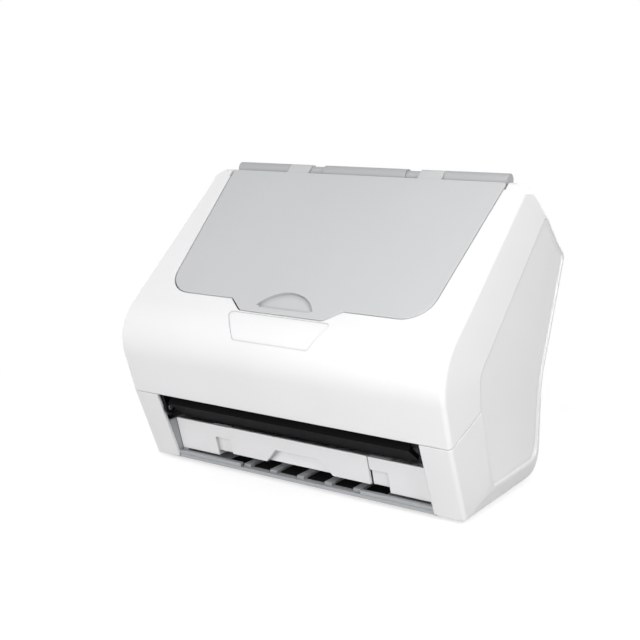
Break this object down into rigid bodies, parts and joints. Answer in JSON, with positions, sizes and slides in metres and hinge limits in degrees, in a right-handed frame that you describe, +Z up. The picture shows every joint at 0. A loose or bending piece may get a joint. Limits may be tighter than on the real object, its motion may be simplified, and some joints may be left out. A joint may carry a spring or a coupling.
{
  "type": "document scanner",
  "caption": "Desktop sheet-fed document scanner with a hinged feed tray, a forward-opening front cover and a sliding output tray.",
  "frame": {"origin": "centre of the bounding box at the level of the feet", "axes": "+X across the width, to the right of someone facing the front; +Y from front to back; +Z up"},
  "size_m": [0.32, 0.215, 0.2575],
  "materials": {
    "casing": "satin white moulding",
    "lid_grey": "fine-grained light grey moulding",
    "base_grey": "fine-grained grey moulding",
    "drawer_white": "satin white moulding",
    "black_plastic": "fine-grained black moulding",
    "plated_steel": "zinc-plated steel",
    "bronze": "sintered bronze",
    "rubber": "ground rubber",
    "sensor_glass": "polished flat glass",
    "motor_metal": "black-painted steel laminations",
    "circuit_board": "green solder mask over glass fibre",
    "socket_metal": "tin-plated steel",
    "gear_nylon": "natural acetal moulding"
  },
  "bodies": {
    "base": {"side_cover_right": "casing", "side_cover_left": "casing", "rear_cover": "casing", "bottom_chassis": "base_grey", "frame_right": "plated_steel", "frame_left": "plated_steel", "lower_guide": "black_plastic", "hinge_rail": "lid_grey", "tray_hinge_pins": "plated_steel", "cover_hinge_pins": "plated_steel", "gear_studs": "plated_steel", "shaft_bushes": "bronze", "case_screws": "plated_steel", "rubber_feet": "rubber", "lower_sensor": "black_plastic", "lower_sensor_glass": "sensor_glass", "motor": "motor_metal", "main_board": "circuit_board", "board_standoffs": "gear_nylon", "power_inlet": "black_plastic", "usb_socket": "socket_metal", "power_switch": "black_plastic"},
    "front_cover": {"front_cover": "casing", "upper_frame": "black_plastic", "hinge_arms": "plated_steel", "upper_sensor": "black_plastic", "upper_sensor_glass": "sensor_glass", "separation_holder": "black_plastic"},
    "feed_tray": {"feed_tray": "lid_grey", "tray_panel": "lid_grey"},
    "paper_guide_left": {"paper_guide_left": "black_plastic"},
    "paper_guide_right": {"paper_guide_right": "black_plastic"},
    "guide_pinion": {"guide_pinion": "gear_nylon"},
    "output_tray": {"output_tray": "drawer_white"},
    "output_extension": {"output_extension": "drawer_white"},
    "cover_latch": {"latch_shaft": "plated_steel", "latch_hooks": "black_plastic", "release_lever": "base_grey"},
    "power_rocker": {"power_rocker": "black_plastic"},
    "separation_roller": {"separation_roller": "rubber"},
    "exit_idlers": {"exit_idlers": "plated_steel"},
    "middle_idlers": {"middle_idlers": "plated_steel"},
    "exit_roller": {"exit_shaft": "plated_steel", "exit_tyres": "rubber", "exit_gear": "gear_nylon"},
    "middle_roller": {"middle_shaft": "plated_steel", "middle_tyres": "rubber", "middle_gear": "gear_nylon"},
    "feed_roller": {"feed_shaft": "plated_steel", "feed_tyre": "rubber", "feed_gear": "gear_nylon"},
    "transfer_gear": {"transfer_gear": "gear_nylon"},
    "reduction_gear": {"reduction_gear": "gear_nylon"},
    "motor_rotor": {"motor_shaft": "plated_steel", "motor_pinion": "bronze"}
  },
  "joints": [
    {"name": "front_cover_hinge", "type": "hinge", "parent": "base", "child": "front_cover", "pos_m": [0, -0.08055, 0.053], "axis": [1, 0, 0], "range_deg": [0, 70]},
    {"name": "feed_tray_hinge", "type": "hinge", "parent": "base", "child": "feed_tray", "pos_m": [0, 0.03995, 0.25154], "axis": [-1, 0, 0], "range_deg": [0, 165]},
    {"name": "guide_pinion_turn", "type": "hinge", "parent": "base", "child": "guide_pinion", "pos_m": [0, -0.02209, 0.1613], "axis": [0, -0.8221, 0.5693], "range_deg": [-381.97, 0]},
    {"name": "left_guide_slide", "type": "slide", "parent": "base", "child": "paper_guide_left", "axis": [1, 0, 0], "range_m": [0, 0.08]},
    {"name": "right_guide_slide", "type": "slide", "parent": "base", "child": "paper_guide_right", "axis": [-1, 0, 0], "range_m": [0, 0.08]},
    {"name": "output_tray_slide", "type": "slide", "parent": "base", "child": "output_tray", "axis": [0, -1, 0], "range_m": [0, 0.11]},
    {"name": "output_extension_slide", "type": "slide", "parent": "output_tray", "child": "output_extension", "axis": [0, -1, 0], "range_m": [0, 0.09]},
    {"name": "cover_latch_turn", "type": "hinge", "parent": "front_cover", "child": "cover_latch", "pos_m": [0, -0.06757, 0.13076], "axis": [-1, 0, 0], "range_deg": [0, 7], "stiffness_Nm_per_rad": 0.08},
    {"name": "power_rocker_turn", "type": "hinge", "parent": "base", "child": "power_rocker", "pos_m": [-0.05, 0.07346, 0.053], "axis": [1, 0, 0], "range_deg": [0, 15]},
    {"name": "separation_roller_turn", "type": "hinge", "parent": "front_cover", "child": "separation_roller", "pos_m": [0, -0.05409, 0.13116], "axis": [1, 0, 0], "continuous": true},
    {"name": "exit_idlers_turn", "type": "hinge", "parent": "front_cover", "child": "exit_idlers", "pos_m": [0, -0.08667, 0.07709], "axis": [1, 0, 0], "continuous": true},
    {"name": "middle_idlers_turn", "type": "hinge", "parent": "front_cover", "child": "middle_idlers", "pos_m": [0, -0.06048, 0.1149], "axis": [1, 0, 0], "continuous": true},
    {"name": "middle_roller_turn", "type": "hinge", "parent": "base", "child": "middle_roller", "pos_m": [0, -0.05037, 0.1079], "axis": [1, 0, 0], "continuous": true},
    {"name": "exit_roller_turn", "type": "hinge", "parent": "base", "child": "exit_roller", "pos_m": [0, -0.07656, 0.07008], "axis": [1, 0, 0], "continuous": true},
    {"name": "feed_roller_turn", "type": "hinge", "parent": "base", "child": "feed_roller", "pos_m": [0, -0.03741, 0.1196], "axis": [1, 0, 0], "continuous": true},
    {"name": "transfer_gear_turn", "type": "hinge", "parent": "base", "child": "transfer_gear", "pos_m": [0, -0.0595, 0.08625], "axis": [1, 0, 0], "continuous": true},
    {"name": "reduction_gear_turn", "type": "hinge", "parent": "base", "child": "reduction_gear", "pos_m": [0, -0.03844, 0.09062], "axis": [1, 0, 0], "continuous": true},
    {"name": "motor_rotor_turn", "type": "hinge", "parent": "base", "child": "motor_rotor", "pos_m": [0, -0.01284, 0.08611], "axis": [1, 0, 0], "continuous": true}
  ],
  "couplings": [
    {"joint": "exit_roller_turn", "follows": "middle_roller_turn", "ratio": 1},
    {"joint": "transfer_gear_turn", "follows": "middle_roller_turn", "ratio": -1.2381},
    {"joint": "reduction_gear_turn", "follows": "middle_roller_turn", "ratio": -1.625},
    {"joint": "feed_roller_turn", "follows": "middle_roller_turn", "ratio": 0.61905},
    {"joint": "motor_rotor_turn", "follows": "middle_roller_turn", "ratio": 5.4167},
    {"joint": "right_guide_slide", "follows": "left_guide_slide", "ratio": 1},
    {"joint": "guide_pinion_turn", "follows": "left_guide_slide", "rad_per_m": -83.333}
  ]
}
